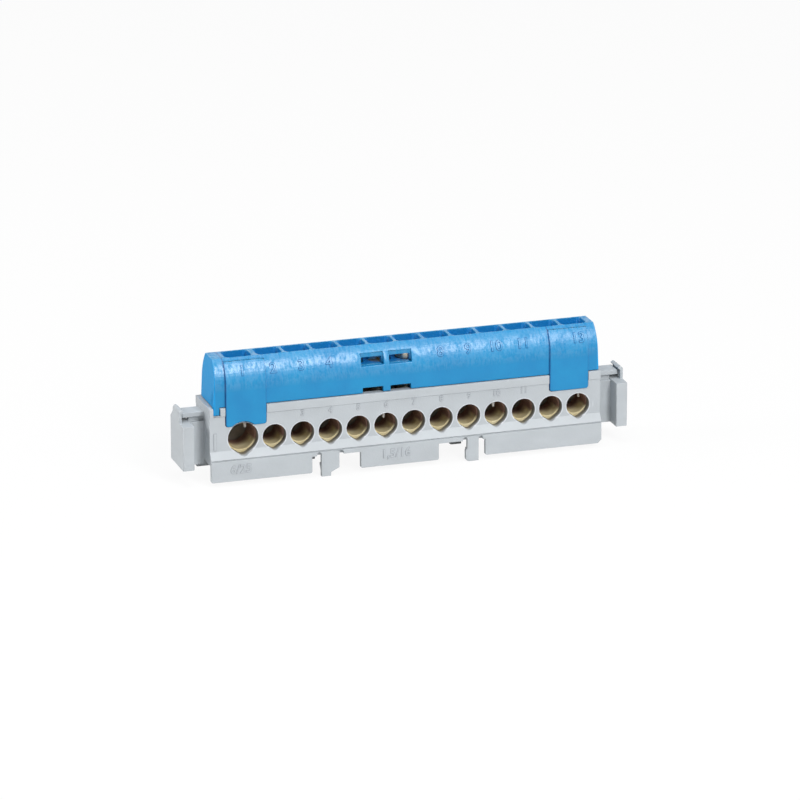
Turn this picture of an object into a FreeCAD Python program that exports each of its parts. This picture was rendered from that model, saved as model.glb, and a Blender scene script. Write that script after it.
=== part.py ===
import FreeCAD, Part
import math
import os

# Distribution terminal block: a grey moulded base on a flat fixing bar, a blue cover clipped over it,
# a brass terminal bar inside and thirteen clamp screws reached through wells in the cover.
#
# Millimetres. X runs along the row of wires, Y from the wire side to the back, Z up.
# The origin is the middle of the seat that lies on the fixing bar.

Vector = FreeCAD.Vector

# Row of ways
pitch = 7.0
small_ways = 12
first_gap = 7.8
first_margin = 8.35
last_margin = 5.75

# Base moulding
base_depth = 11.7
wall_top = 14.1
floor_thickness = 1.5
wall_thickness = 2.0
end_wall = 1.6
strip_height = 2.1
strip_proud = 0.25
overrun = 1.0

# Flared band, skirts and clip legs that straddle the fixing bar
fixing_bar_width = 12.0
fixing_bar_thickness = 2.0
fixing_bar_clearance = 0.1
band_top = 3.3
skirt_top = 1.4
skirt_thickness = 1.05
skirt_drop = 4.1
skirt_corner = 0.9
moulded_edge = 0.25
groove = 0.35
left_skirt_length = 25.2
left_leg_gap = 2.3
left_leg_width = 4.5
left_leg_foot = 2.4
left_leg_shoulder = 3.3
middle_skirt_gap = 5.4
middle_skirt_length = 19.75
right_leg_gap = 1.7
right_leg_width = 2.9
right_leg_toe = 0.4
right_skirt_length = 29.9
leg_drop = 5.25
leg_slot = 1.1
leg_slot_height = 0.9
hook_width = 2.4
hook_reach = 0.8
hook_land = 0.4
hook_length = 1.7

# End fittings that hang in a slotted support
flange_thickness = 2.85
flange_depth = 11.0
flange_bottom = -0.95
flange_top = 10.1
left_neck = 3.65
right_neck = 4.35
neck_thickness = 2.6
neck_step = 0.3
tongue_rise = 1.0
tongue_thickness = 1.15
tongue_front = -1.2
tongue_back = 3.2
tongue_gap = 0.35
web_front = -0.4
finger_thickness = 0.75
finger_front = -2.2
finger_back = 3.3
finger_bend = 0.75
finger_height = 3.2
finger_lip = 0.5
finger_lip_drop = 0.35
gusset_height = 1.8

# Wire entries through the front wall
entry_radius = 2.95
first_entry_radius = 3.8
entry_height = 5.85
first_entry_height = 6.2
entry_point_angle = 110.0
entry_point_round = 0.35

# Terminal bar
bar_clearance = 0.2
bar_sink = 1.3
bar_edge = 0.4
wire_bore_step = 0.25
thread_clearance = 0.05

# Clamp screws, raised; those named as lowered stand with their points in the wire bores
screw_radius = 2.45
first_screw_radius = 2.95
head_radius = 2.7
first_head_radius = 3.0
head_height = 2.8
head_sink = 3.4
point_inset = 0.85
point_length = 0.9
point_clearance = 0.1
slot_width = 0.9
slot_depth = 1.2
lowered_ways = (1, 6, 10, 13)
lowered_by = 1.6

# Cover moulding
cover_left_inset = 1.05
cover_right_inset = 0.4
cover_gap = 0.15
cover_front_inset = 0.2
cover_back_inset = 0.9
cover_height = 11.35
cover_wall = 1.2
cover_roof = 1.5
shoulder_rise = 5.25
front_shoulder = 8.04
back_shoulder = 9.1
end_lean = 0.5
well_clearance = 0.3
well_wall = 0.7
well_depth = 8.6
mouth_web = 0.75
mouth_rim = 0.25
mouth_corner = 1.0

# Cover panels with their snap tabs, and the small locating tab
panel_proud = 0.5
panel_step = 0.5
panel_rim_gap = 0.4
tab_thickness = 1.2
tab_clearance = 0.1
tab_corner = 0.6
first_panel_overhang = 4.3
first_panel_width = 10.05
first_tab_length = 4.9
last_panel_overhang = 2.5
last_panel_width = 9.85
last_tab_length = 4.2
barb_drop = 2.95
barb_length = 4.0
barb_reach = 0.4
barb_land = 0.3
locating_tab_width = 1.55
locating_tab_length = 1.95

# Windows in the cover's front, either side of one way
window_way = 6
window_offset = 0.32
window_width = 5.7
window_rib = 1.35
window_height = 3.0
window_step = 1.7
window_recess = 1.4
window_slot_inset = 0.3
window_slot_height = 1.9
vent_width = 5.15
vent_rib = 1.85
vent_height = 1.45

# Places and shapes that follow from the sizes above
ways = small_ways + 1
base_length = first_margin + first_gap + (small_ways - 1) * pitch + last_margin
overall_length = 2 * flange_thickness + left_neck + base_length + right_neck
base_left = flange_thickness + left_neck - overall_length / 2
base_right = base_left + base_length
way_x = [base_left + first_margin]
way_x += [way_x[0] + first_gap + i * pitch for i in range(small_ways)]
left_leg_start = base_left + left_skirt_length + left_leg_gap
middle_skirt_start = left_leg_start + left_leg_width + middle_skirt_gap
right_leg_start = base_right - right_skirt_length - right_leg_gap - right_leg_width
front_face = -base_depth / 2
trough_half = base_depth / 2 - wall_thickness
skirt_inner = -fixing_bar_width / 2 - fixing_bar_clearance
skirt_outer = skirt_inner - skirt_thickness
bar_half = trough_half - bar_clearance
bar_top = wall_top - bar_sink
cover_left = base_left + cover_left_inset
cover_right = base_right - cover_right_inset
cover_bottom = wall_top + cover_gap
cover_top = cover_bottom + cover_height
shoulder_bottom = cover_bottom + shoulder_rise
cover_front = front_face + cover_front_inset
cover_back = base_depth / 2 - cover_back_inset
head_top = cover_top - head_sink
panel_front = cover_front - panel_proud
panel_top = cover_top - panel_step
panels = (
    (way_x[0] - first_panel_overhang, first_panel_width, cover_bottom - first_tab_length),
    (way_x[-1] + last_panel_overhang - last_panel_width, last_panel_width, cover_bottom - last_tab_length),
)
diagonal = math.sqrt(0.5)


# Solids from outlines
def outline_face(place, steps):
    """Face bounded by steps: a point is reached in a line, a pair of points by an arc through the first."""
    edges = []
    here = steps[0]
    for step in steps[1:] + [steps[0]]:
        if isinstance(step[0], tuple):
            through, end = step
            edges.append(Part.Arc(place(*here), place(*through), place(*end)).toShape())
            here = end
        else:
            edges.append(Part.LineSegment(place(*here), place(*step)).toShape())
            here = step
    return Part.Face(Part.Wire(edges))


def along_x(steps, x0, x1):
    """Solid of a YZ outline from x0 to x1."""
    return outline_face(lambda y, z: Vector(x0, y, z), steps).extrude(Vector(x1 - x0, 0, 0))


def along_y(steps, y0, y1):
    """Solid of an XZ outline from y0 to y1."""
    return outline_face(lambda x, z: Vector(x, y0, z), steps).extrude(Vector(0, y1 - y0, 0))


def block(x0, x1, y0, y1, z0, z1):
    return Part.makeBox(x1 - x0, y1 - y0, z1 - z0, Vector(x0, y0, z0))


def post(x, radius, z0, z1):
    """Upright cylinder on the row's middle line."""
    return Part.makeCylinder(radius, z1 - z0, Vector(x, 0, z0))


def cross_bore(x, z, radius, y0, y1):
    return Part.makeCylinder(radius, y1 - y0, Vector(x, y0, z), Vector(0, 1, 0))


def joined(solids):
    return solids[0].multiFuse(solids[1:]).removeSplitter()


def mirrored_back(solid):
    return solid.mirror(Vector(0, 0, 0), Vector(0, 1, 0))


def first_or(way, first_value, value):
    """Way 1 takes the large wires, so its sizes differ from the others'."""
    return first_value if way == 1 else value


def entry(way):
    """Height and radius of a way's wire entry."""
    return first_or(way, first_entry_height, entry_height), first_or(way, first_entry_radius, entry_radius)


def shank_radius(way):
    return first_or(way, first_screw_radius, screw_radius)


def screw_head_radius(way):
    return first_or(way, first_head_radius, head_radius)


# Base
def teardrop(x, z, radius):
    """Round wire entry drawn down to a blunt point, which centres thin wires under the screw."""
    half_angle = math.radians(entry_point_angle / 2)
    side = math.sin(math.pi / 2 - half_angle)
    down = math.cos(math.pi / 2 - half_angle)
    blunt = entry_point_round * radius
    blunt_z = z - (radius - blunt) / math.sin(half_angle)
    return [
        (x - radius * side, z - radius * down),
        ((x, z + radius), (x + radius * side, z - radius * down)),
        (x + blunt * side, blunt_z - blunt * down),
        ((x, blunt_z - blunt), (x - blunt * side, blunt_z - blunt * down)),
    ]


def wire_entry(way):
    """Cutter for one way's entry through the front wall."""
    z, radius = entry(way)
    return along_y(teardrop(way_x[way - 1], z, radius), 2 * skirt_outer, -trough_half + bar_clearance / 2)


def flared_band():
    """Band along the foot of the wall, sloping out to the plane of the skirts, with its groove."""
    band = along_x(
        [(front_face, band_top), (skirt_outer, skirt_top), (skirt_outer, 0), (front_face, 0)],
        base_left,
        base_right,
    )
    return band.cut(
        block(
            base_left,
            base_right,
            skirt_outer,
            skirt_outer + groove,
            skirt_top - groove,
            skirt_top,
        )
    )


def skirt(x0, x1, cut_corner):
    corner = skirt_corner if cut_corner else moulded_edge
    return along_y(
        [(x0, skirt_top / 2), (x1, skirt_top / 2), (x1, corner - skirt_drop), (x1 - corner, -skirt_drop),
         (x0 + moulded_edge, -skirt_drop), (x0, moulded_edge - skirt_drop)],
        skirt_outer,
        skirt_inner,
    )


def hook(x0):
    """Nib inside a leg that snaps under the fixing bar."""
    land = -fixing_bar_thickness - fixing_bar_clearance
    tip = skirt_inner + hook_reach
    return along_x(
        [(skirt_inner, land), (tip, land), (tip, land - hook_land), (skirt_inner, land - hook_length)],
        x0,
        x0 + hook_width,
    )


def left_leg():
    right = left_leg_start + left_leg_width
    foot = left_leg_start + left_leg_foot
    slope_end = left_leg_shoulder + (right - foot) / 2
    leg = along_y(
        [(left_leg_start, skirt_top / 2), (right, skirt_top / 2), (right, -left_leg_shoulder),
         (foot, -slope_end), (foot, -leg_drop), (left_leg_start, -leg_drop)],
        skirt_outer,
        skirt_inner,
    )
    return leg.fuse(hook(left_leg_start))


def right_leg():
    right = right_leg_start + right_leg_width
    toe = right_leg_start - right_leg_toe
    bend = right_leg_width / 3
    sweep = bend * (1 - diagonal)
    leg = along_y(
        [(right_leg_start, skirt_top / 2), (right_leg_start, -fixing_bar_thickness),
         (toe, -fixing_bar_thickness - right_leg_toe), (toe, bend - leg_drop),
         ((toe + sweep, sweep - leg_drop), (toe + bend, -leg_drop)),
         (right, -leg_drop), (right, skirt_top / 2)],
        skirt_outer,
        skirt_inner,
    )
    return leg.fuse(hook(right_leg_start))


def leg_slots():
    """Slots beside each leg's root, which let it spring."""
    sides = [
        left_leg_start - leg_slot,
        left_leg_start + left_leg_width,
        right_leg_start - leg_slot,
        right_leg_start + right_leg_width,
    ]
    return [
        along_y(
            [(x, -overrun), (x, leg_slot_height - leg_slot / 2),
             ((x + leg_slot / 2, leg_slot_height), (x + leg_slot, leg_slot_height - leg_slot / 2)),
             (x + leg_slot, -overrun)],
            skirt_outer - overrun,
            skirt_inner,
        )
        for x in sides
    ]


def side_details():
    """What stands out of one long side: strip, band, skirts and legs."""
    middle_end = middle_skirt_start + middle_skirt_length
    details = joined([
        block(base_left, base_right, front_face - strip_proud, front_face, wall_top - strip_height, wall_top),
        flared_band(),
        skirt(base_left, base_left + left_skirt_length, False),
        skirt(middle_skirt_start, middle_end, False),
        skirt(base_right - right_skirt_length, base_right, True),
    ])
    return joined([details.cut(leg_slots()), left_leg(), right_leg()])


def end_fitting(side, base_end):
    """Flange, neck, tongue and sprung finger at one end; side is -1 on the left and 1 on the right."""
    outer = side * overall_length / 2

    def inward(distance):
        return outer - side * distance

    def slab(start, end, y0, y1, z0, z1):
        return block(min(start, end), max(start, end), y0, y1, z0, z1)

    flange_half = flange_depth / 2
    flange = slab(outer, inward(flange_thickness), -flange_half, flange_half, flange_bottom, flange_top)
    corners = [edge for edge in flange.Edges if edge.BoundBox.ZLength > flange_thickness]
    flange = flange.makeFillet(moulded_edge, corners)
    neck_top = flange_top - neck_step
    neck = slab(
        inward(flange_thickness / 2),
        base_end,
        -neck_thickness / 2,
        neck_thickness / 2,
        flange_bottom,
        neck_top,
    )
    tongue_bottom = flange_top + tongue_rise
    web = slab(
        inward(flange_thickness),
        base_end,
        web_front,
        neck_thickness / 2,
        neck_top - moulded_edge,
        tongue_bottom + moulded_edge,
    )
    tongue = slab(
        inward(finger_thickness + tongue_gap),
        base_end,
        tongue_front,
        tongue_back,
        tongue_bottom,
        tongue_bottom + tongue_thickness,
    )
    finger_top = flange_top + finger_height
    root = flange_top - moulded_edge
    bend_z = finger_top - finger_bend
    lip = finger_thickness + finger_lip
    lip_top = finger_top - finger_lip_drop
    finger = along_y(
        [(outer, root), (outer, bend_z),
         ((inward(finger_bend * (1 - diagonal)), bend_z + finger_bend * diagonal),
          (inward(finger_bend), finger_top)),
         (inward(lip), lip_top), (inward(lip), lip_top - moulded_edge),
         (inward(finger_thickness), lip_top - finger_lip), (inward(finger_thickness), root)],
        finger_front,
        finger_back,
    )
    gusset_top = flange_top + gusset_height
    gusset_foot = flange_half - moulded_edge
    gusset = along_x(
        [(finger_back - moulded_edge, root), (gusset_foot, root), (gusset_foot, flange_top),
         (finger_back, gusset_top), (finger_back - moulded_edge, gusset_top)],
        min(outer, inward(finger_thickness)),
        max(outer, inward(finger_thickness)),
    )
    return joined([flange, neck, web, tongue, finger, gusset])


def make_base():
    shell = block(base_left, base_right, front_face, -front_face, 0, wall_top).cut(
        block(
            base_left + end_wall,
            base_right - end_wall,
            -trough_half,
            trough_half,
            floor_thickness,
            wall_top + overrun,
        )
    )
    front = side_details()
    base = joined([
        shell,
        front,
        mirrored_back(front),
        end_fitting(-1, base_left),
        end_fitting(1, base_right),
    ])
    pockets = [tab_solid(*panel, tab_clearance) for panel in panels]
    pockets += [mirrored_back(pocket) for pocket in pockets]
    rim = cross_bore(way_x[0], first_entry_height, first_entry_radius + panel_rim_gap / 2, 2 * skirt_outer, 0)
    base = base.cut([pocket.cut(rim) for pocket in pockets])
    base = base.cut(locating_tab(tab_clearance))
    return base.cut([wire_entry(way) for way in range(1, ways + 1)])


# Cover
def front_y(z, inset):
    """Where the front shoulder's arc, moved in by inset, passes the height z."""
    reach = math.sqrt((front_shoulder - inset) ** 2 - (z - shoulder_bottom) ** 2)
    return cover_front + front_shoulder - reach


def back_y(z, inset):
    reach = math.sqrt((back_shoulder - inset) ** 2 - (z - shoulder_bottom) ** 2)
    return cover_back - back_shoulder + reach


def cover_outline(inset, bottom, top):
    """YZ outline of the cover, its sides and shoulders moved in by inset."""
    middle = (shoulder_bottom + top) / 2
    return [
        (cover_front + inset, bottom),
        (cover_front + inset, shoulder_bottom),
        ((front_y(middle, inset), middle), (front_y(top, inset), top)),
        (back_y(top, inset), top),
        ((back_y(middle, inset), middle), (cover_back - inset, shoulder_bottom)),
        (cover_back - inset, bottom),
    ]


def drafted_ends(inset, bottom, top):
    """Space between the cover's two leaning ends."""
    lean = end_lean / (cover_top - cover_bottom)

    def moved(z):
        return inset + lean * (z - cover_bottom)

    return along_y(
        [(cover_left + moved(bottom), bottom), (cover_right - moved(bottom), bottom),
         (cover_right - moved(top), top), (cover_left + moved(top), top)],
        2 * cover_front,
        2 * cover_back,
    )


def tab_outline(start, width, bottom, grow):
    """XZ outline of a snap tab, with its lower corners rounded."""
    x0 = start - grow
    x1 = start + width + grow
    z0 = bottom - grow
    sweep = tab_corner * (1 - diagonal)
    return [
        (x0, cover_bottom),
        (x0, z0 + tab_corner),
        ((x0 + sweep, z0 + sweep), (x0 + tab_corner, z0)),
        (x1 - tab_corner, z0),
        ((x1 - sweep, z0 + sweep), (x1, z0 + tab_corner)),
        (x1, cover_bottom),
    ]


def tab_solid(start, width, bottom, grow):
    """Snap tab with its barb; grown, it is the pocket that the base has for it."""
    inner = panel_front + tab_thickness + grow
    plate = along_y(tab_outline(start, width, bottom, grow), panel_front, inner)
    middle = start + width / 2
    barb_top = cover_bottom - barb_drop + grow
    barb_bottom = cover_bottom - barb_drop - barb_land - grow
    barb = along_x(
        [(inner, barb_top + barb_reach), (inner + barb_reach, barb_top),
         (inner + barb_reach, barb_bottom), (inner, barb_bottom - barb_reach)],
        middle - barb_length / 2 - grow,
        middle + barb_length / 2 + grow,
    )
    return plate.fuse(barb)


def locating_tab(grow):
    """Small tab at the cover's left end; grown, it is its notch in the base."""
    return block(
        cover_left - grow,
        cover_left + locating_tab_width + grow,
        front_face - strip_proud - grow,
        cover_front + cover_wall + grow,
        cover_bottom - locating_tab_length - grow,
        cover_bottom + cover_wall,
    )


def panel(start, width, bottom):
    """Raised panel over the cover's front, running down into a snap tab."""
    middle = (shoulder_bottom + panel_top) / 2
    face = along_x(
        [(panel_front, cover_bottom), (panel_front, shoulder_bottom),
         ((front_y(middle, -panel_proud), middle), (front_y(panel_top, -panel_proud), panel_top)),
         (0, panel_top), (0, cover_bottom)],
        start,
        start + width,
    )
    return [face, tab_solid(start, width, bottom, 0)]


def windows():
    """Two shallow recesses in the shoulder with slots into the wells, and two vents over the wall."""
    window_middle = way_x[window_way - 1] + window_offset
    window_top = cover_top - window_step
    window_bottom = window_top - window_height
    window_back = cover_front + window_recess
    cutters = []
    for side in (-1, 1):
        x = window_middle + side * (window_rib + window_width) / 2
        half = window_width / 2
        cutters.append(block(x - half, x + half, 2 * cover_front, window_back, window_bottom, window_top))
        half -= window_slot_inset
        slot_top = window_bottom + window_slot_height
        cutters.append(block(x - half, x + half, window_back - cover_wall, 0, window_bottom, slot_top))
        x = window_middle + side * (vent_rib + vent_width) / 2
        half = vent_width / 2
        vent_back = cover_front + 2 * cover_wall
        vent_top = wall_top + vent_height
        cutters.append(block(x - half, x + half, 2 * cover_front, vent_back, cover_bottom - overrun, vent_top))
    return cutters


def well_radius(way):
    return screw_head_radius(way) + well_clearance


def well(way):
    """Cutter for one round screw well, up to the floor of its mouth."""
    return post(way_x[way - 1], well_radius(way), wall_top, head_top + well_clearance)


def well_mouth(way):
    """Cutter for the squarish mouth over a well, as wide as the flat top and the thin webs allow."""
    floor = head_top + well_clearance
    half = first_or(way, well_radius(way), (pitch - mouth_web) / 2)
    mouth = block(
        way_x[way - 1] - half,
        way_x[way - 1] + half,
        front_y(cover_top, 0) + mouth_rim,
        back_y(cover_top, 0) - mouth_rim,
        floor,
        cover_top + overrun,
    )
    corners = [edge for edge in mouth.Edges if edge.BoundBox.ZLength > cover_top - floor]
    return mouth.makeFillet(mouth_corner, corners)


def well_row():
    """Rib under the roof that the wells are bored through."""
    half = first_head_radius + well_clearance + well_wall
    return block(way_x[0] - half, way_x[-1] + half, -half, half, cover_top - well_depth, cover_top)


def make_cover():
    outside = along_x(cover_outline(0, cover_bottom, cover_top), cover_left, cover_right)
    outside = outside.common(drafted_ends(0, cover_bottom - overrun, cover_top + overrun))
    inside = cover_outline(cover_wall, cover_bottom - overrun, cover_top - cover_roof)
    cavity = along_x(inside, cover_left, cover_right)
    cavity = cavity.common(drafted_ends(cover_wall, cover_bottom - overrun, cover_top))
    rib = well_row()
    shell = outside.cut(cavity).fuse(rib.common(outside))
    fronts = [piece for sizes in panels for piece in panel(*sizes)]
    backs = [mirrored_back(tab_solid(*sizes, 0)) for sizes in panels]
    back_webs = [
        block(
            start,
            start + width,
            cover_back - cover_wall,
            -panel_front,
            cover_bottom,
            cover_bottom + cover_wall,
        )
        for start, width, _ in panels
    ]
    rim = cross_bore(way_x[0], first_entry_height, first_entry_radius + panel_rim_gap, 2 * skirt_outer, 0)
    body = joined([shell, locating_tab(0).common(outside_reach())] + fronts + backs + back_webs)
    body = body.cut([cavity.cut(rib), rim])
    wells = [cutter(way) for way in range(1, ways + 1) for cutter in (well, well_mouth)]
    return body.cut(wells + windows()).removeSplitter()


def outside_reach():
    """Space that the locating tab may fill: the thickness of the cover's front wall."""
    return block(cover_left, cover_right, cover_front, cover_front + cover_wall, 0, cover_top)


# Terminal bar
def make_terminal_bar():
    bar = block(
        base_left + end_wall + bar_clearance,
        base_right - end_wall - bar_clearance,
        -bar_half,
        bar_half,
        floor_thickness,
        bar_top,
    )
    bar = bar.makeChamfer(bar_edge, [edge for edge in bar.Edges if edge.BoundBox.XLength > bar_top])
    cutters = []
    for way, x in enumerate(way_x, 1):
        z, radius = entry(way)
        cutters.append(cross_bore(x, z, radius - wire_bore_step, -base_depth, base_depth))
        cutters.append(post(x, shank_radius(way) + thread_clearance, z, bar_top + overrun))
    return bar.cut(cutters)


# Clamp screws
def make_clamp_screw(way):
    """Screw with a cylindrical slotted head and a blunt point."""
    x = way_x[way - 1]
    shank = shank_radius(way)
    head = screw_head_radius(way)
    z, radius = entry(way)
    drop = lowered_by if way in lowered_ways else 0
    top = head_top - drop
    tip = z + radius - wire_bore_step + point_clearance - drop
    solid = joined([
        Part.makeCone(shank - point_inset, shank, point_length, Vector(x, 0, tip)),
        post(x, shank, tip + point_length, top - head_height),
        post(x, head, top - head_height, top),
    ])
    half = slot_width / 2
    return solid.cut(block(x - head, x + head, -half, half, top - slot_depth, top + overrun))


def save(shape, name):
    shape.exportStep(os.path.join("parts", name + ".step"))


os.makedirs("parts", exist_ok=True)
save(make_base(), "base_housing")
save(make_cover(), "cover")
save(make_terminal_bar(), "terminal_bar")
for way in range(1, ways + 1):
    save(make_clamp_screw(way), f"clamp_screw_{way:02d}")
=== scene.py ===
import bmesh
import bpy
import math
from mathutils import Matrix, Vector


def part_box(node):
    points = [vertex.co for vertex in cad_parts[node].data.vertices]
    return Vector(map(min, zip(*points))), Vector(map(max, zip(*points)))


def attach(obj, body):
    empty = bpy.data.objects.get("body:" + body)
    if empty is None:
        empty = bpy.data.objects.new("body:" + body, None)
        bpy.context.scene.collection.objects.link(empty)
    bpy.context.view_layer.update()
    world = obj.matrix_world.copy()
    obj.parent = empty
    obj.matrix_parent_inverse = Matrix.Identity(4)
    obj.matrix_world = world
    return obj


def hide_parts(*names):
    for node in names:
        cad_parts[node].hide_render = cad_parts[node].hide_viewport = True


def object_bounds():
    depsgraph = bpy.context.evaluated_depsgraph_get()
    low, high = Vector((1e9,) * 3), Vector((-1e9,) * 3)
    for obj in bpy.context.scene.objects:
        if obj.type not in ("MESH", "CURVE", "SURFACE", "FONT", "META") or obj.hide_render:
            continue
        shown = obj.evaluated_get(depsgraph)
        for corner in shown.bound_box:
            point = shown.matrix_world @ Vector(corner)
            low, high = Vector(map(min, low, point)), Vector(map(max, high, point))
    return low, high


# Terminal block: grey base, blue cover, brass bar and thirteen clamp screws, in metres.
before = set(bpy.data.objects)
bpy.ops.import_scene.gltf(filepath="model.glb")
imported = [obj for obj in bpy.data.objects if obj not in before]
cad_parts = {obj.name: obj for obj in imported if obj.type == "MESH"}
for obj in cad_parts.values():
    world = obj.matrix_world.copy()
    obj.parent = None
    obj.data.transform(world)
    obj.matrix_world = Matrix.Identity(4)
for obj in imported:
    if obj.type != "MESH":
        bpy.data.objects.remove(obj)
cad_low, cad_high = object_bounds()
scene = bpy.context.scene
mm = 0.001

# Places read from the frame
ways = range(1, 14)
screw_nodes = [f"clamp_screw_{way:02d}" for way in ways]
screw_boxes = [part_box(node) for node in screw_nodes]
way_x = [(low.x + high.x) / 2 for low, high in screw_boxes]
base_low, base_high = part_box("base_housing")
cover_low, cover_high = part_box("cover")
bar_low, bar_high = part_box("terminal_bar")
wall_front = bar_low.y - 2.2 * mm
skirt_front = base_low.y
base_front_left = bar_low.x - 1.8 * mm
cover_front = wall_front + 0.2 * mm
cover_back = -wall_front - 0.9 * mm

# Forms of the solids that the finishes and numbers follow
shoulder_radius = 8.04 * mm
back_shoulder_radius = 9.1 * mm
shoulder_bottom = cover_high.z - 6.1 * mm
panel_step = 0.5 * mm
panel_edges = (way_x[0] - 4.3 * mm, way_x[0] + 5.75 * mm, way_x[-1] - 7.35 * mm, way_x[-1] + 2.5 * mm)
entry_height = 5.85 * mm
entry_radius = 2.95 * mm
first_entry_height = 6.2 * mm
first_entry_radius = 3.8 * mm
pitch = way_x[2] - way_x[1]
well_half = 3.2 * mm
end_slope = 0.52 * mm

# Small forms that the solids leave out
moulded_edge = 0.11 * mm
bar_edge = 0.08 * mm
first_thread_inset = 0.05 * mm
thread_inset = 0.25 * mm
thread_pitch = 0.8 * mm
thread_depth = 0.32 * mm
point_length = 0.9 * mm
point_inset = 0.85 * mm
head_height = 2.8 * mm
slot_width = 0.9 * mm
slot_depth = 1.2 * mm
# Size of the thin wedge hung at a lowered screw's point and coloured near white as a painted highlight
flat_width = 1.0 * mm
flat_length = 2.8 * mm
flat_drop = 0.6 * mm
numeral_depth = 0.16 * mm
# A thin plate a little wider than each number, coloured darker as a painted shadow round it
outline_depth = 0.03 * mm
outline_width = 0.13 * mm

# Ways whose screws stand low, with the degrees that the flat wedges at their points, coloured as a painted
# highlight, are turned by
flat_turns = {1: 32, 6: 12, 10: 10, 13: 48}

# How near two points count as one, and a point as lying in a cutting plane
same_point = 0.002 * mm
same_grid_point = 0.001 * mm
same_letter_point = 0.0001 * mm
in_plane = 0.001 * mm


# Shader and geometry values
class Value:
    """A node's output that Python's operators work on, by adding Math nodes to its tree."""

    def __init__(self, nodes, socket):
        self.nodes = nodes
        self.socket = socket

    def worked(self, operation, *values):
        return self.nodes.add("ShaderNodeMath", {"operation": operation}, dict(enumerate(values)))["Value"]

    def __add__(self, other):
        return self.worked("ADD", self, other)

    def __sub__(self, other):
        return self.worked("SUBTRACT", self, other)

    def __rsub__(self, other):
        return self.worked("SUBTRACT", other, self)

    def __mul__(self, other):
        return self.worked("MULTIPLY", self, other)

    def __truediv__(self, other):
        return self.worked("DIVIDE", self, other)

    def __rtruediv__(self, other):
        return self.worked("DIVIDE", other, self)

    def __pow__(self, other):
        return self.worked("POWER", self, other)

    def __gt__(self, other):
        return self.worked("GREATER_THAN", self, other)

    def __lt__(self, other):
        return self.worked("LESS_THAN", self, other)

    def __abs__(self):
        return self.worked("ABSOLUTE", self)

    __radd__ = __add__
    __rmul__ = __mul__

    def function(self, operation, *others):
        return self.worked(operation, self, *others)

    def clamped(self):
        """The value held between 0 and 1."""
        return self.function("MAXIMUM", 0.0).function("MINIMUM", 1.0)


class Nodes:
    """One node tree, whose nodes are all made by add."""

    def __init__(self, tree):
        self.tree = tree

    def add(self, kind, settings=None, values=None):
        node = self.tree.nodes.new(kind)
        for name, setting in (settings or {}).items():
            setattr(node, name, setting)
        for name, value in (values or {}).items():
            socket = self.socket(node.inputs, name)
            for one in value if isinstance(value, list) else [value]:
                if isinstance(one, Value):
                    self.tree.links.new(one.socket, socket)
                else:
                    socket.default_value = one
        return Made(self, node)

    @staticmethod
    def socket(sockets, name):
        if isinstance(name, int):
            return sockets[name]
        return next(s for s in sockets if name in (s.identifier, s.name) and s.enabled)

    def mixed(self, factor, first, second):
        """Colour between two colours."""
        colours = {"Factor_Float": factor, "A_Color": first, "B_Color": second}
        return self.add("ShaderNodeMix", {"data_type": "RGBA"}, colours)["Result_Color"]


class Made:
    """A node that was added, giving its outputs as values."""

    def __init__(self, nodes, node):
        self.nodes = nodes
        self.node = node

    def __getitem__(self, name):
        return Value(self.nodes, Nodes.socket(self.node.outputs, name))


def srgb(red, green, blue):
    """Scene colour of a screen colour whose parts run from 0 to 255."""

    def linear(part):
        part /= 255
        return part / 12.92 if part <= 0.04045 else ((part + 0.055) / 1.055) ** 2.4

    return (linear(red), linear(green), linear(blue), 1)


# Finishes
class Finish:
    """A material with its object coordinates, noises and surface shader."""

    def __init__(self, name):
        self.material = bpy.data.materials.new(name)
        self.material.use_nodes = True
        self.nodes = Nodes(self.material.node_tree)
        self.material.node_tree.nodes.clear()
        self.place = self.nodes.add("ShaderNodeTexCoord")["Object"]

    def across(self, axis):
        """One object coordinate."""
        return self.nodes.add("ShaderNodeSeparateXYZ", {}, {0: self.place})[axis]

    def stretched(self, x, y, z):
        """Object coordinates scaled by so many cells to the metre along each axis."""
        settings = {"operation": "MULTIPLY"}
        return self.nodes.add("ShaderNodeVectorMath", settings, {0: self.place, 1: (x, y, z)})["Vector"]

    def even(self, cells):
        """Object coordinates scaled alike along every axis."""
        return self.stretched(cells, cells, cells)

    def noise(self, where, detail=2.0, roughness=0.5):
        values = {"Vector": where, "Scale": 1.0, "Detail": detail, "Roughness": roughness}
        return self.nodes.add("ShaderNodeTexNoise", {}, values)["Fac"]

    def bumped(self, height, distance):
        values = {"Height": height, "Distance": distance, "Strength": 1.0}
        return self.nodes.add("ShaderNodeBump", {}, values)["Normal"]

    def surface(self, **values):
        """Ends the material in a surface shader. Constants go straight onto its sockets."""
        named = {name.replace("_", " "): value for name, value in values.items()}
        shader = self.nodes.add("ShaderNodeBsdfPrincipled", {}, named)["BSDF"]
        self.nodes.add("ShaderNodeOutputMaterial", {}, {"Surface": shader})
        return self.material


def near(distance, reach):
    """1 where a distance is nothing, falling to 0 at the reach."""
    return (1 - abs(distance) / reach).function("MAXIMUM", 0.0)


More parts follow.
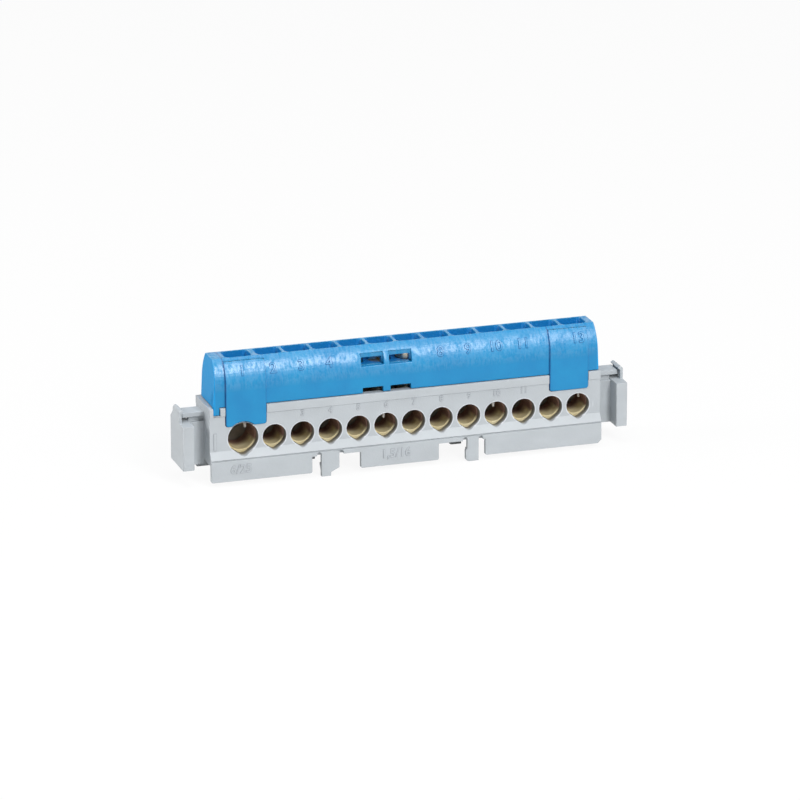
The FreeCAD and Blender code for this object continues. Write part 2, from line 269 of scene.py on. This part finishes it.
def blue_cover_plastic():
    """Satin blue moulding, streaked and glossy on its shoulder, with painted shade deepening its wells and
    the creases beside its panels, and its end faces painted a purer blue against the pale reflection they
    catch.
    """
    panel_shade_width = 0.3 * mm
    panel_shade_strengths = (0.8, 0.3, 0.7, 0.2)
    well_top = cover_high.z - 0.3 * mm
    well_shade_share = 0.85
    gloss_start = 0.4
    gloss_rise = 6
    gloss_fade = 1.6 * mm
    skin_height = 0.15 * mm
    finish = Finish("blue cover plastic")
    x = finish.across("X")
    y = finish.across("Y")
    z = finish.across("Z")
    cloud = finish.noise(finish.even(160), 3.0)
    grain = finish.noise(finish.even(2100), 2.0, 0.5)
    streak = finish.noise(finish.stretched(1800, 560, 520), 2.0, 0.6)
    patch = finish.noise(finish.even(640), 3.0, 0.65)
    skin = finish.nodes.mixed((cloud - 0.3) * 1.6, srgb(6, 124, 179), srgb(14, 139, 190))
    # Painted shade: a deeper blue along the panels' edges, strongest at the left ones, where the crease
    # beside each raised panel lies in shade
    panel_shade = 0
    for edge, strength in zip(panel_edges, panel_shade_strengths):
        panel_shade = panel_shade + near(x - edge, panel_shade_width) * strength
    panel_shaded = finish.nodes.mixed(panel_shade, skin, srgb(0, 70, 134))
    # Painted shade: the wells are coloured a deeper blue, as they lie in shade, and carry no gloss
    shaded_well = (abs(y) < well_half) * (z < well_top)
    well_shaded = finish.nodes.mixed(shaded_well * well_shade_share, panel_shaded, srgb(0, 118, 192))
    # Painted shade: both end faces are coloured a purer blue, without red, to offset the pale reflection they
    # catch; they are also rougher and without gloss
    shaded_end = (x < cover_low.x + end_slope) + (x > cover_high.x - end_slope)
    colour = finish.nodes.mixed(shaded_end, well_shaded, srgb(0, 138, 199))
    gloss = ((patch * 0.5 + streak * 0.5 - gloss_start) * gloss_rise).clamped()
    rounded = ((z - shoulder_bottom) / gloss_fade + 1).clamped()
    return finish.surface(
        Base_Color=colour,
        Roughness=0.36 + 0.2 * patch + 0.2 * shaded_end,
        Specular_IOR_Level=0.45,
        Coat_Weight=gloss * rounded * (1 - shaded_well) * (1 - shaded_end),
        Coat_Roughness=0.3,
        Normal=finish.bumped((grain * 0.6 + streak * 0.8) * (0.2 + 0.8 * rounded), skin_height),
    )


def shadowed_blue():
    """The deeper blue of the painted shadow line round each raised number."""
    finish = Finish("shadowed blue plastic")
    grain = finish.noise(finish.even(2100), 2.0, 0.5)
    colour = finish.nodes.mixed(grain, srgb(10, 78, 136), srgb(30, 104, 160))
    return finish.surface(Base_Color=colour, Roughness=0.6 + 0.1 * grain)


def grey_base_plastic():
    """Finely grained light grey moulding with faint flow marks, a patchy painted highlight round the rims of
    its entries, and painted shade inside them and in the hollow behind its front wall.
    """
    skin_height = 0.03 * mm
    rim_highlight_width = 0.32 * mm
    rim_highlight_depth = 0.2 * mm
    rim_highlight_strength = 1.3
    inside_start = 0.1 * mm
    inside_fade = 0.9 * mm
    inside_top = base_high.z - 0.4 * mm
    inside_end = bar_high.x + 1.5 * mm
    inside_back = -2 * wall_front - 0.3 * mm
    finish = Finish("grey base plastic")
    x = finish.across("X")
    z = finish.across("Z")
    depth = finish.across("Y") - wall_front
    cloud = finish.noise(finish.stretched(120, 120, 220), 3.0)
    grain = finish.noise(finish.even(2600), 3.0, 0.6)
    skin = finish.nodes.mixed(cloud, srgb(166, 171, 175), srgb(184, 190, 194))
    aside = (x - way_x[1]).function("PINGPONG", pitch / 2)
    from_entry = (aside * aside + (z - entry_height) ** 2) ** 0.5 - entry_radius
    first_aside = x - way_x[0]
    from_first = (first_aside * first_aside + (z - first_entry_height) ** 2) ** 0.5 - first_entry_radius
    first = x < (way_x[0] + way_x[1]) / 2
    from_rim = from_entry * (1 - first) + from_first * first
    rim_patches = finish.noise(finish.even(700), 2.0)
    # Painted highlight: a patchy pale ring round each entry's rim on the front face, where a rounded edge
    # would catch the light
    rim_highlight = near(from_rim, rim_highlight_width) * near(depth, rim_highlight_depth) * (abs(x) < bar_high.x) * rim_patches
    rim_lit = finish.nodes.mixed(rim_highlight * rim_highlight_strength, skin, srgb(236, 240, 246))
    # Painted shade: inside the entries and the hollow behind the front wall, darkening over the first 0.9 mm
    # in from the front face
    sunk = ((depth - inside_start) / inside_fade).clamped()
    inside_shade = sunk * (z < inside_top) * (abs(x) < inside_end) * (depth < inside_back)
    colour = finish.nodes.mixed(inside_shade, rim_lit, srgb(118, 114, 104))
    return finish.surface(
        Base_Color=colour,
        Roughness=0.46 + 0.14 * grain,
        Normal=finish.bumped(grain, skin_height),
    )


def shadowed_grey():
    """The deeper grey of the painted shadow line round each raised number."""
    finish = Finish("shadowed grey plastic")
    grain = finish.noise(finish.even(2600), 3.0, 0.6)
    colour = finish.nodes.mixed(grain, srgb(142, 146, 152), srgb(170, 174, 180))
    return finish.surface(Base_Color=colour, Roughness=0.6 + 0.1 * grain)


def drawn_brass():
    """Brass bar drilled in rings, pale gold with stains, painted dark brown with shade deep in and high up,
    with a painted pool of light low on its bores' floors near the front.
    """
    ring_height = 0.06 * mm
    lit_depth = 5.4 * mm
    depth_fade = 3 * mm
    lit_top = entry_height - 0.6 * mm
    top_fade = 0.7 * mm
    finish = Finish("drawn brass")
    depth = finish.across("Y") - bar_low.y
    z = finish.across("Z")
    rings = finish.noise(finish.stretched(500, 5000, 500), 2.0, 0.6)
    stain = finish.noise(finish.even(420), 3.0)
    brass_tone = finish.nodes.mixed(stain, srgb(214, 192, 134), srgb(254, 246, 210))
    # Painted light and shade: the bar shows its own pale colour only near its front and low down, as a pool
    # of light on the bores' floors; deeper in and higher up it is painted dark brown shade
    lit_front = ((lit_depth - depth) / depth_fade).clamped()
    low = ((lit_top - z) / top_fade).clamped()
    colour = finish.nodes.mixed(lit_front * low, srgb(150, 116, 102), brass_tone)
    return finish.surface(
        Base_Color=colour,
        Metallic=0.15 + 0.3 * rings,
        Roughness=0.4 + 0.2 * rings,
        Normal=finish.bumped(rings, ring_height),
    )


def plated_steel():
    """Zinc plated screw steel with a faint yellow cast."""
    skin_height = 0.01 * mm
    finish = Finish("plated screw steel")
    grain = finish.noise(finish.even(3000), 2.0)
    stain = finish.noise(finish.even(600), 2.0)
    colour = finish.nodes.mixed(stain, srgb(172, 160, 138), srgb(214, 206, 188))
    return finish.surface(
        Base_Color=colour,
        Metallic=1.0,
        Roughness=0.22 + 0.16 * grain,
        Normal=finish.bumped(grain, skin_height),
    )


def ground_steel():
    """Near-white painted highlight on the flat wedge at a screw's point."""
    finish = Finish("painted glint steel")
    grain = finish.noise(finish.even(3000), 2.0)
    colour = finish.nodes.mixed(grain, srgb(240, 238, 230), srgb(252, 252, 250))
    return finish.surface(Base_Color=colour, Metallic=0.15, Roughness=0.25 + 0.1 * grain)


blue = blue_cover_plastic()
deep_blue = shadowed_blue()
grey = grey_base_plastic()
deep_grey = shadowed_grey()
brass = drawn_brass()
steel = plated_steel()
painted_glint = ground_steel()


# Pieces
def placed(mesh, name, material):
    """New object of a mesh at the origin, in one material."""
    mesh.name = name
    mesh.materials.clear()
    mesh.materials.append(material)
    piece = bpy.data.objects.new(name, mesh)
    scene.collection.objects.link(piece)
    return piece


def plain_mesh(piece):
    """Mesh of a piece with its modifiers worked in."""
    bpy.context.view_layer.update()
    worked_out = bpy.context.evaluated_depsgraph_get()
    shown = piece.evaluated_get(worked_out)
    return bpy.data.meshes.new_from_object(shown, preserve_all_data_layers=True, depsgraph=worked_out)


def split_at(surface, x):
    """Cuts every face at a plane across the row and marks the cut as a seam."""
    whole = surface.verts[:] + surface.edges[:] + surface.faces[:]
    cut = bmesh.ops.bisect_plane(surface, geom=whole, dist=in_plane, plane_co=(x, 0, 0), plane_no=(1, 0, 0))
    for part in cut["geom_cut"]:
        if isinstance(part, bmesh.types.BMEdge):
            part.seam = True


def rounded_out(surface, middle_y, toward, radii):
    """Cuts the flat strips of a round shoulder finer and moves their points out to its true radius."""
    coarse = 0.15 * mm
    fine = 0.01 * mm
    steps = 12

    def strip_radius(point):
        """The true radius that a point of the shoulder's strips belongs to, if it is on one."""
        out = (point.y - middle_y) * toward
        up = point.z - shoulder_bottom
        reach = math.hypot(out, up)
        if out > 0 and up > -coarse:
            return next((radius for radius in radii if radius - coarse < reach < radius + fine), None)

    top_angle = math.asin((cover_high.z - shoulder_bottom) / radii[0])
    for step in range(1, steps):
        angle = top_angle * step / steps
        faces = [face for face in surface.faces if all(strip_radius(corner.co) for corner in face.verts)]
        edges = {edge for face in faces for edge in face.edges}
        corners = {corner for face in faces for corner in face.verts}
        bmesh.ops.bisect_plane(
            surface,
            geom=[*faces, *edges, *corners],
            dist=in_plane,
            plane_co=(0, middle_y, shoulder_bottom),
            plane_no=(0, -toward * math.sin(angle), math.cos(angle)),
        )
    for vertex in surface.verts:
        radius = strip_radius(vertex.co)
        if radius:
            out = Vector((0, vertex.co.y - middle_y, vertex.co.z - shoulder_bottom)).normalized() * radius
            vertex.co.y = middle_y + out.y
            vertex.co.z = shoulder_bottom + out.z


def merged_copy(node):
    """The node's solid as one joined surface of few flat faces, none of them round a hole."""
    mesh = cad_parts[node].data.copy()
    surface = bmesh.new()
    surface.from_mesh(mesh)
    bmesh.ops.remove_doubles(surface, verts=surface.verts, dist=same_point)
    if node == "cover":
        front_radii = (shoulder_radius, shoulder_radius + panel_step)
        rounded_out(surface, cover_front + shoulder_radius, -1, front_radii)
        rounded_out(surface, cover_back - back_shoulder_radius, 1, (back_shoulder_radius,))
    for x, next_x in zip(way_x, way_x[1:]):
        split_at(surface, x)
        split_at(surface, (x + next_x) / 2)
    split_at(surface, way_x[-1])
    bmesh.ops.dissolve_limit(
        surface,
        angle_limit=math.radians(1),
        verts=surface.verts,
        edges=surface.edges,
        delimit={"NORMAL", "SEAM"},
    )
    return mesh, surface


def softened(piece, width):
    """Rounds the sharp edges of a piece and shades the rest smoothly."""
    bevel = piece.modifiers.new("moulded edge", "BEVEL")
    bevel.width = width
    bevel.segments = 2
    bevel.limit_method = "ANGLE"
    bevel.angle_limit = math.radians(22)
    bevel.use_clamp_overlap = False
    bevel.miter_outer = "MITER_ARC"
    weighted = piece.modifiers.new("flat faces", "WEIGHTED_NORMAL")
    weighted.mode = "FACE_AREA"
    weighted.weight = 80
    piece.data.shade_smooth()
    mesh = plain_mesh(piece)
    piece.modifiers.clear()
    piece.data = mesh
    return piece


def finished(surface, mesh, name, material, edge):
    """Piece made of an edited surface, with its edges softened."""
    surface.to_mesh(mesh)
    surface.free()
    return softened(placed(mesh, name, material), edge)


def base_piece():
    """The grey base, one moulding."""
    mesh, surface = merged_copy("base_housing")
    piece = finished(surface, mesh, "base_moulding", grey, moulded_edge)
    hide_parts("base_housing")
    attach(piece, "housing")


def cover_piece():
    """The blue cover, one moulding."""
    mesh, surface = merged_copy("cover")
    piece = finished(surface, mesh, "cover_moulding", blue, moulded_edge)
    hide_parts("cover")
    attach(piece, "housing")


def bar_piece():
    """The drawn bar in which every wire meets its screw."""
    mesh, surface = merged_copy("terminal_bar")
    piece = finished(surface, mesh, "brass_bar", brass, bar_edge)
    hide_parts("terminal_bar")
    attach(piece, "housing")


# Clamp screws
def screw_tree():
    """Node tree of a threaded screw with a rounded, cross slotted head and, if wide enough, a flat wedge at
    its point that carries a painted highlight.
    """
    tree = bpy.data.node_groups.new("clamp screw", "GeometryNodeTree")
    names = (
        "Way", "Tip", "Top", "Shank Radius", "Head Radius", "Head Height", "Point Length", "Point Inset",
        "Thread Pitch", "Thread Depth", "Slot Width", "Slot Depth", "Flat Width", "Flat Length", "Flat Drop",
        "Flat Turn",
    )
    for name in names:
        tree.interface.new_socket(name=name, in_out="INPUT", socket_type="NodeSocketFloat")
    for name in ("Finish", "Glint Finish"):
        tree.interface.new_socket(name=name, in_out="INPUT", socket_type="NodeSocketMaterial")
    tree.interface.new_socket(name="Screw", in_out="OUTPUT", socket_type="NodeSocketGeometry")
    nodes = Nodes(tree)
    given = nodes.add("NodeGroupInput")
    size = {name: given[name] for name in names}
    position = nodes.add("ShaderNodeSeparateXYZ", {}, {0: nodes.add("GeometryNodeInputPosition")["Position"]})
    around = (position["X"] + 0.5) * math.tau
    along = position["Y"] + 0.5

    def turned(radius, height, rows, steps):
        """Closed surface whose radius and height follow the rows of a grid."""
        counts = {"Vertices X": steps + 1, "Vertices Y": rows + 1}
        grid = nodes.add("GeometryNodeMeshGrid", {}, counts)["Mesh"]
        place = nodes.add("ShaderNodeCombineXYZ", {}, {
            "X": radius * around.function("COSINE"), "Y": radius * around.function("SINE"), "Z": height,
        })["Vector"]
        bent = nodes.add("GeometryNodeSetPosition", {}, {"Geometry": grid, "Position": place})["Geometry"]
        values = {0: bent, "Distance": same_grid_point}
        return nodes.add("GeometryNodeMergeByDistance", {}, values)["Geometry"]

    def box(x, y, z, middle):
        extent = nodes.add("ShaderNodeCombineXYZ", {}, {"X": x, "Y": y, "Z": z})["Vector"]
        cube = nodes.add("GeometryNodeMeshCube", {}, {"Size": extent})["Mesh"]
        shift = nodes.add("ShaderNodeCombineXYZ", {}, {"Z": middle})["Vector"]
        return nodes.add("GeometryNodeTransform", {}, {"Geometry": cube, "Translation": shift})["Geometry"]

    shank_length = size["Top"] - size["Head Height"] * 0.5 - size["Tip"]
    height = size["Tip"] + along * shank_length
    winding = (height / size["Thread Pitch"] - around / math.tau).function("FRACT")
    thread = size["Shank Radius"] - size["Thread Depth"] * abs(winding * 2 - 1)
    slope = size["Point Inset"] / size["Point Length"]
    cone = size["Shank Radius"] - size["Point Inset"] + (height - size["Tip"]) * slope
    end_row = 0.001
    between_ends = (along > end_row) * (along < 1 - end_row)
    shank = turned(thread.function("MINIMUM", cone) * between_ends, height, rows=120, steps=28)

    rise = (along - 0.5) * math.pi
    rounding = 0.16
    round_out = rise.function("COSINE").function("MAXIMUM", 0.0) ** rounding
    round_up = rise.function("SIGN") * abs(rise.function("SINE")) ** rounding
    half_height = size["Head Height"] * 0.5
    head_middle = size["Top"] - half_height
    head = turned(size["Head Radius"] * round_out, head_middle + half_height * round_up, rows=24, steps=40)
    slot_middle = size["Top"]
    long_reach = 2.2
    cross_reach = 1.2
    cutter_height = size["Slot Depth"] * 2
    long_slot = box(size["Head Radius"] * long_reach, size["Slot Width"], cutter_height, slot_middle)
    cross_slot = box(size["Slot Width"], size["Head Radius"] * cross_reach, cutter_height, slot_middle)
    cut = nodes.add("GeometryNodeMeshBoolean", {"operation": "DIFFERENCE", "solver": "EXACT"}, {
        "Mesh 1": head, "Mesh 2": [long_slot, cross_slot],
    })["Mesh"]
    turned_steel = nodes.add("GeometryNodeJoinGeometry", {}, {"Geometry": [shank, cut]})["Geometry"]

    # A thin flat wedge at the point, given a near-white finish as a painted highlight
    flatness = 0.4
    narrowed = 0.35
    out_from_middle = 0.93
    flat_middle = size["Flat Length"] * 0.5
    flat = box(size["Flat Width"], size["Flat Width"] * flatness, size["Flat Length"], flat_middle)
    taper = narrowed + (1 - narrowed) * position["Z"] / size["Flat Length"]
    wedge = nodes.add("ShaderNodeCombineXYZ", {}, {
        "X": position["X"] * taper,
        "Y": position["Y"] - size["Shank Radius"] * out_from_middle,
        "Z": position["Z"],
    })["Vector"]
    wedged = nodes.add("GeometryNodeSetPosition", {}, {"Geometry": flat, "Position": wedge})["Geometry"]
    low_end = nodes.add("ShaderNodeCombineXYZ", {}, {"Z": size["Tip"] - size["Flat Drop"]})["Vector"]
    turn = nodes.add("ShaderNodeCombineXYZ", {}, {"Z": size["Flat Turn"]})["Vector"]
    values = {"Geometry": wedged, "Translation": low_end, "Rotation": turn}
    glint_wedge = nodes.add("GeometryNodeTransform", {}, values)["Geometry"]
    choice = {"Switch": size["Flat Width"] > 0, "True": glint_wedge}
    glint_if_any = nodes.add("GeometryNodeSwitch", {"input_type": "GEOMETRY"}, choice)["Output"]

    def made_real(geometry, finish):
        """Geometry stood at its way, made real and given its material."""
        shift = nodes.add("ShaderNodeCombineXYZ", {}, {"X": size["Way"]})["Vector"]
        values = {"Geometry": geometry, "Translation": shift}
        stood = nodes.add("GeometryNodeTransform", {}, values)["Geometry"]
        real = nodes.add("GeometryNodeRealizeInstances", {}, {"Geometry": stood})["Geometry"]
        return nodes.add("GeometryNodeSetMaterial", {}, {"Geometry": real, "Material": finish})["Geometry"]

    both = [made_real(turned_steel, given["Finish"]), made_real(glint_if_any, given["Glint Finish"])]
    whole = nodes.add("GeometryNodeJoinGeometry", {}, {"Geometry": both})["Geometry"]
    nodes.add("NodeGroupOutput", {}, {"Screw": whole})
    return tree


def screw_pieces():
    """Thirteen screws. Those turned down carry a flat wedge at their points, coloured near white as a painted
    highlight, each turned its own way.
    """
    tree = screw_tree()
    socket = {item.name: item.identifier for item in tree.interface.items_tree if item.in_out == "INPUT"}
    for way, node, (low, high), x in zip(ways, screw_nodes, screw_boxes, way_x):
        head_radius = (high.x - low.x) / 2
        piece = placed(bpy.data.meshes.new("screw"), f"clamp_screw_{way:02d}_shown", steel)
        modifier = piece.modifiers.new("clamp screw", "NODES")
        modifier.node_group = tree
        sizes = {
            "Way": x,
            "Tip": low.z,
            "Top": high.z,
            "Shank Radius": head_radius - (first_thread_inset if way == 1 else thread_inset),
            "Head Radius": head_radius,
            "Head Height": head_height,
            "Point Length": point_length,
            "Point Inset": point_inset,
            "Thread Pitch": thread_pitch,
            "Thread Depth": thread_depth,
            "Slot Width": slot_width,
            "Slot Depth": slot_depth,
            "Flat Width": flat_width if way in flat_turns else 0.0,
            "Flat Length": flat_length,
            "Flat Drop": flat_drop,
            "Flat Turn": math.radians(flat_turns.get(way, 0)),
            "Finish": steel,
            "Glint Finish": painted_glint,
        }
        for name, value in sizes.items():
            modifier[socket[name]] = value
        mesh = plain_mesh(piece)
        piece.modifiers.remove(modifier)
        piece.data = mesh
        shade_by_angle(mesh, degrees=40)
        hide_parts(node)
        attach(piece, f"screw_{way:02d}")


def shade_by_angle(mesh, degrees):
    """Smooth shading, kept sharp where faces turn by more than the angle."""
    surface = bmesh.new()
    surface.from_mesh(mesh)
    for face in surface.faces:
        face.smooth = True
    for edge in surface.edges:
        edge.smooth = edge.calc_face_angle(0) < math.radians(degrees)
    surface.to_mesh(mesh)
    surface.free()


# Raised numerals
def numeral_mesh(text, height, depth, margin):
    """Flat plate of a number, its face towards +Z and its middle at the origin, cut into level bands."""
    share_of_size = 0.73
    bands = 6
    letters = bpy.data.curves.new(text, "FONT")
    letters.body = text
    letters.size = height / share_of_size
    letters.align_x = "CENTER"
    letters.align_y = "CENTER"
    letters.extrude = depth
    letters.offset = margin
    letters.resolution_u = 4
    holder = bpy.data.objects.new(text, letters)
    scene.collection.objects.link(holder)
    mesh = plain_mesh(holder)
    bpy.data.objects.remove(holder)
    surface = bmesh.new()
    surface.from_mesh(mesh)
    bmesh.ops.remove_doubles(surface, verts=surface.verts, dist=same_letter_point)
    for band in range(1, bands):
        level = (band / bands - 0.5) * height
        whole = surface.verts[:] + surface.edges[:] + surface.faces[:]
        bmesh.ops.bisect_plane(surface, geom=whole, plane_co=(0, level, 0), plane_no=(0, 1, 0))
    surface.to_mesh(mesh)
    surface.free()
    return mesh


def numerals(name, material, marks, bend, depth=numeral_depth, margin=0.0):
    """One piece of many raised numbers. A mark is a text, its height and its place, where bend puts it."""
    gathered = bmesh.new()
    for text, height, place in marks:
        mesh = numeral_mesh(text, height, depth, margin)
        for vertex in mesh.vertices:
            vertex.co = bend(vertex.co, place)
        gathered.from_mesh(mesh)
        bpy.data.meshes.remove(mesh)
    bmesh.ops.recalc_face_normals(gathered, faces=gathered.faces)
    mesh = bpy.data.meshes.new(name)
    gathered.to_mesh(mesh)
    gathered.free()
    piece = placed(mesh, name, material)
    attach(piece, "housing")


def on_wall(point, place):
    """Point of a number standing on an upright face that looks to the front."""
    x, y, z = place
    return Vector((x + point.x, y - point.z, z + point.y))


def on_shoulder(point, place):
    """Point of a number that follows the cover's rounded shoulder."""
    x, proud, rise = place
    radius = shoulder_radius + proud
    angle = rise + point.y / radius
    out = radius + point.z
    middle_y = cover_front + shoulder_radius
    return Vector((x + point.x, middle_y - out * math.cos(angle), shoulder_bottom + out * math.sin(angle)))


def all_numerals():
    """Way numbers on the shoulder and the wall, and wire sizes on the skirts, each in a painted shadow line:
    a thin darker plate a little wider than the number.
    """
    shoulder_rise = math.radians(22.5)
    shoulder_height = 2.6 * mm
    panelled = (1, 13)
    # The two windows stand where 5 to 7 would be, and the right panel's edge where 12 would be
    left_out = (5, 6, 7, 12)
    marks = [
        (str(way), shoulder_height, (x, panel_step if way in panelled else 0, shoulder_rise))
        for way, x in zip(ways, way_x) if way not in left_out
    ]
    numerals("shoulder_numbers", blue, marks, on_shoulder)
    numerals("shoulder_number_shadows", deep_blue, marks, on_shoulder, outline_depth, outline_width)
    wall_height = 1.5 * mm
    wall_z = 10.95 * mm
    # The panels' tabs cover the wall beside the first ways and the last
    uncovered = range(3, 12)
    marks = [
        (str(way), wall_height, (x, wall_front, wall_z))
        for way, x in zip(ways, way_x) if way in uncovered
    ]
    beside_first_height = 4.4 * mm
    beside_first = (base_front_left + 1.35 * mm, wall_front, 5.5 * mm)
    marks.append(("1", beside_first_height, beside_first))
    skirt_height = 2.2 * mm
    skirt_z = -1.2 * mm
    left_skirt_x = base_front_left + 7.4 * mm
    middle_skirt_x = base_front_left + 46.25 * mm
    marks.append(("6/25", skirt_height, (left_skirt_x, skirt_front, skirt_z)))
    marks.append(("1,5/16", skirt_height, (middle_skirt_x, skirt_front, skirt_z)))
    numerals("wall_numbers", grey, marks, on_wall)
    numerals("wall_number_shadows", deep_grey, marks, on_wall, outline_depth, outline_width)


base_piece()
cover_piece()
bar_piece()
screw_pieces()
all_numerals()


# Stage
def backdrop():
    """Pale floor that the block stands on, shown near white with a soft shadow."""
    white_share = 0.92
    half = 3.0
    finish = Finish("pale floor")
    path = finish.nodes.add("ShaderNodeLightPath")
    seen = path["Is Camera Ray"] + path["Is Glossy Ray"] + path["Is Transmission Ray"]
    paint = finish.nodes.add("ShaderNodeBsdfDiffuse", {}, {"Color": (0.85, 0.85, 0.85, 1)})["BSDF"]
    white = finish.nodes.add("ShaderNodeEmission", {}, {"Color": (1, 1, 1, 1), "Strength": 1.0})["Emission"]
    values = {0: seen.function("MINIMUM", 1.0) * white_share, 1: paint, 2: white}
    shown = finish.nodes.add("ShaderNodeMixShader", {}, values)["Shader"]
    finish.nodes.add("ShaderNodeOutputMaterial", {}, {"Surface": shown})
    floor = bpy.data.meshes.new("floor")
    z = cad_low.z
    corners = [(-half, -half, z), (half, -half, z), (half, half, z), (-half, half, z)]
    floor.from_pydata(corners, [], [(0, 1, 2, 3)])
    placed(floor, "floor", finish.material)


def studio_world():
    """Even white surroundings: full white where seen, also in a reflection, and gentler as light."""
    as_light = 0.2
    world = bpy.data.worlds.new("studio")
    world.use_nodes = True
    world.node_tree.nodes.clear()
    nodes = Nodes(world.node_tree)
    path = nodes.add("ShaderNodeLightPath")
    seen = path["Is Camera Ray"] + path["Is Glossy Ray"] + path["Is Transmission Ray"]
    strength = as_light + (1 - as_light) * seen.function("MINIMUM", 1.0)
    values = {"Color": (1, 1, 1, 1), "Strength": strength}
    light = nodes.add("ShaderNodeBackground", {}, values)["Background"]
    nodes.add("ShaderNodeOutputWorld", {}, {"Surface": light})
    scene.world = world


def softbox(name, place, width, height, power):
    """Area lamp that faces the block."""
    block_middle = Vector((0, 0, 0.01))
    lamp = bpy.data.lights.new(name, "AREA")
    lamp.shape = "RECTANGLE"
    lamp.size = width
    lamp.size_y = height
    lamp.energy = power
    holder = bpy.data.objects.new(name, lamp)
    holder.location = place
    aim = block_middle - holder.location
    holder.rotation_euler = aim.to_track_quat("-Z", "Y").to_euler()
    scene.collection.objects.link(holder)


def camera():
    """The photograph's view: from the left and a little above, with a long lens."""
    standpoint = Vector((-0.3883, -1.1941, 0.4225))
    looked_at = Vector((-0.00018, 0.00015, 0.00962))
    lens = bpy.data.cameras.new("camera")
    lens.sensor_width = 36.0
    lens.lens = 246.2
    lens.clip_start = 0.05
    lens.clip_end = 20.0
    holder = bpy.data.objects.new("camera", lens)
    holder.location = standpoint
    aim = looked_at - holder.location
    holder.rotation_euler = aim.to_track_quat("-Z", "Y").to_euler()
    scene.collection.objects.link(holder)
    scene.camera = holder


backdrop()
studio_world()
softbox("key", (0.2, -0.76, 0.61), width=0.22, height=0.5, power=6.7)
softbox("right fill", (0.75, -0.65, 0.3), width=0.5, height=0.5, power=1.0)
softbox("left side", (-0.9, 0.15, 0.35), width=0.4, height=0.4, power=4.4)
softbox("top", (-0.1, -0.15, 0.95), width=0.5, height=0.4, power=4.0)
camera()
scene.view_settings.view_transform = "Standard"
